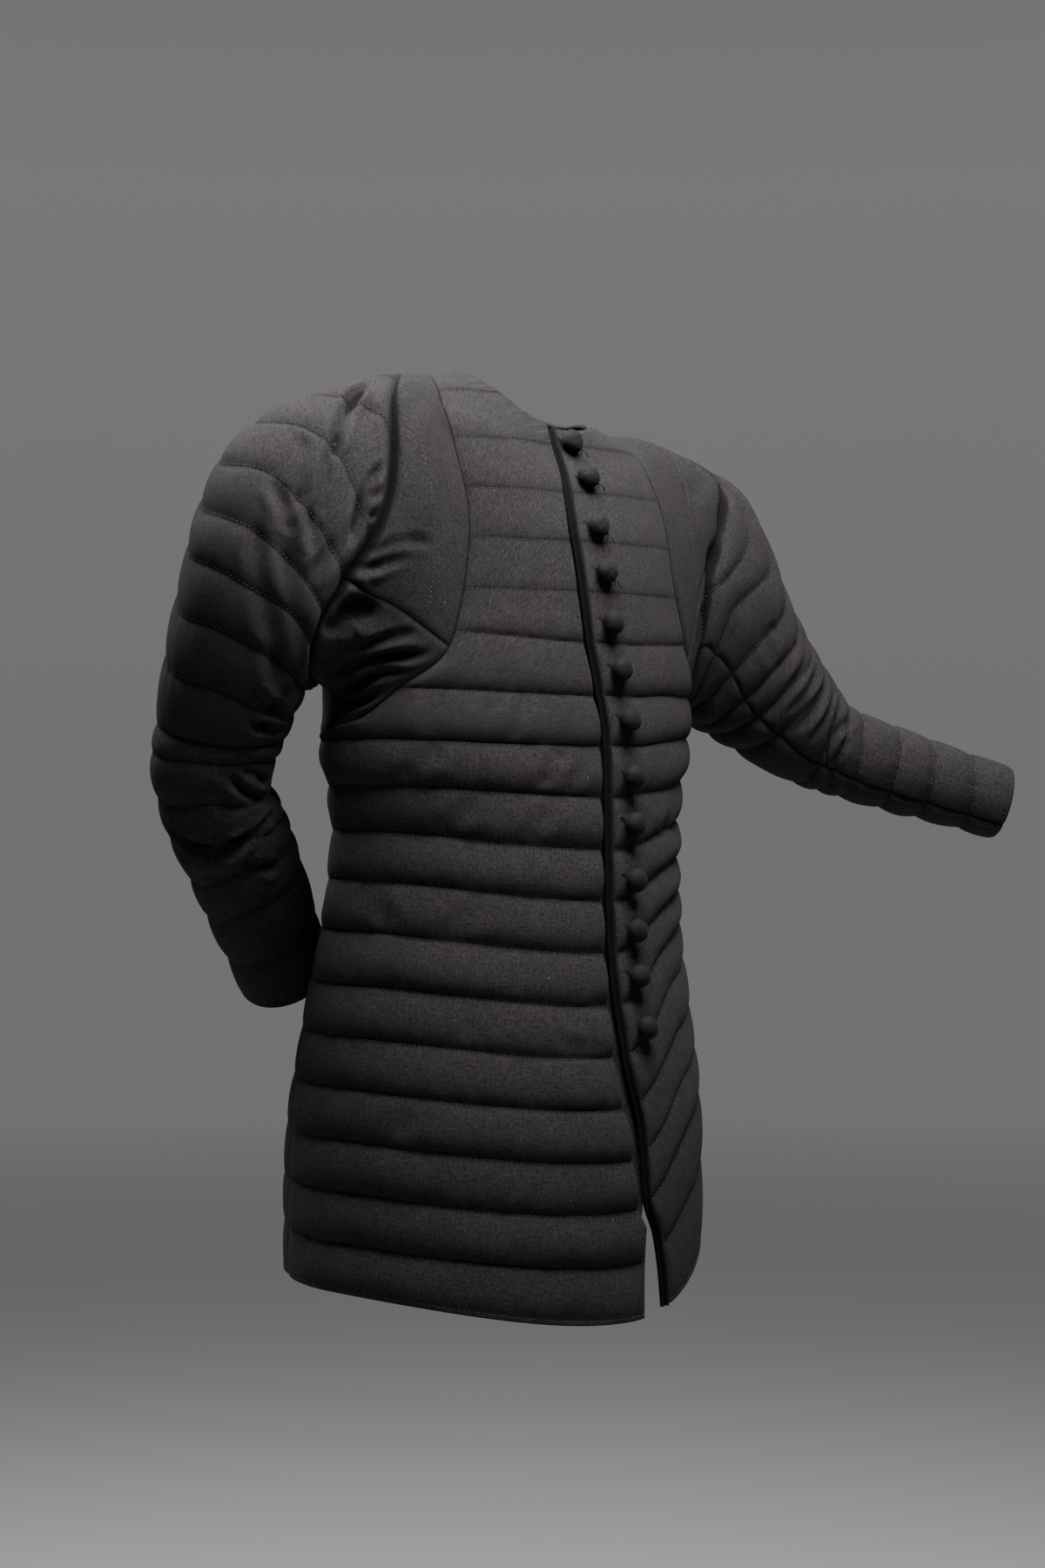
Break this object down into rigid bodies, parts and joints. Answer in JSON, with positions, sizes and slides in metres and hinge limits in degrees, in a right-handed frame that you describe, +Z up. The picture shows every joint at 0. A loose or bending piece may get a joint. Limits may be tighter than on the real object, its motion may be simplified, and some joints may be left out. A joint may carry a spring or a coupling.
{
  "type": "quilted gambeson",
  "caption": "Long quilted padded jacket in worn form, hollow, buttoned down the front, with wide-cut armholes, bent sleeves and an open neck, hem and cuffs.",
  "frame": {"origin": "on the garment's upright centre line at the level of its neck opening at the side, where the wearer's neck and shoulders carry it", "axes": "+Z up, -Y out of the front, +X toward the wearer's left arm"},
  "size_m": [0.9817, 0.4333, 0.9115],
  "materials": {
    "quilted_cloth": "matte woven charcoal cloth quilted in channels",
    "gusset_cloth": "matte woven charcoal cloth, lightly padded",
    "edge_cloth": "matte corded black edging",
    "button_cloth": "matte black cloth covered button"
  },
  "bodies": {
    "root": {"front_right": "quilted_cloth", "front_left": "quilted_cloth", "back": "quilted_cloth", "front_edge_binding": "edge_cloth", "gusset_upper_right": "gusset_cloth", "gusset_lower_right": "gusset_cloth", "sleeve_upper_right": "quilted_cloth", "sleeve_fore_right": "quilted_cloth", "sleeve_under_right": "quilted_cloth", "cuff_button_right_1": "button_cloth", "cuff_button_right_2": "button_cloth", "cuff_button_right_3": "button_cloth", "cuff_button_right_4": "button_cloth", "cuff_button_right_5": "button_cloth", "gusset_upper_left": "gusset_cloth", "gusset_lower_left": "gusset_cloth", "sleeve_upper_left": "quilted_cloth", "sleeve_fore_left": "quilted_cloth", "sleeve_under_left": "quilted_cloth", "cuff_button_left_1": "button_cloth", "cuff_button_left_2": "button_cloth", "cuff_button_left_3": "button_cloth", "cuff_button_left_4": "button_cloth", "cuff_button_left_5": "button_cloth", "front_button_01": "button_cloth", "front_button_02": "button_cloth", "front_button_03": "button_cloth", "front_button_04": "button_cloth", "front_button_05": "button_cloth", "front_button_06": "button_cloth", "front_button_07": "button_cloth", "front_button_08": "button_cloth", "front_button_09": "button_cloth", "front_button_10": "button_cloth", "front_button_11": "button_cloth", "front_button_12": "button_cloth", "front_button_13": "button_cloth"}
  },
  "joints": []
}
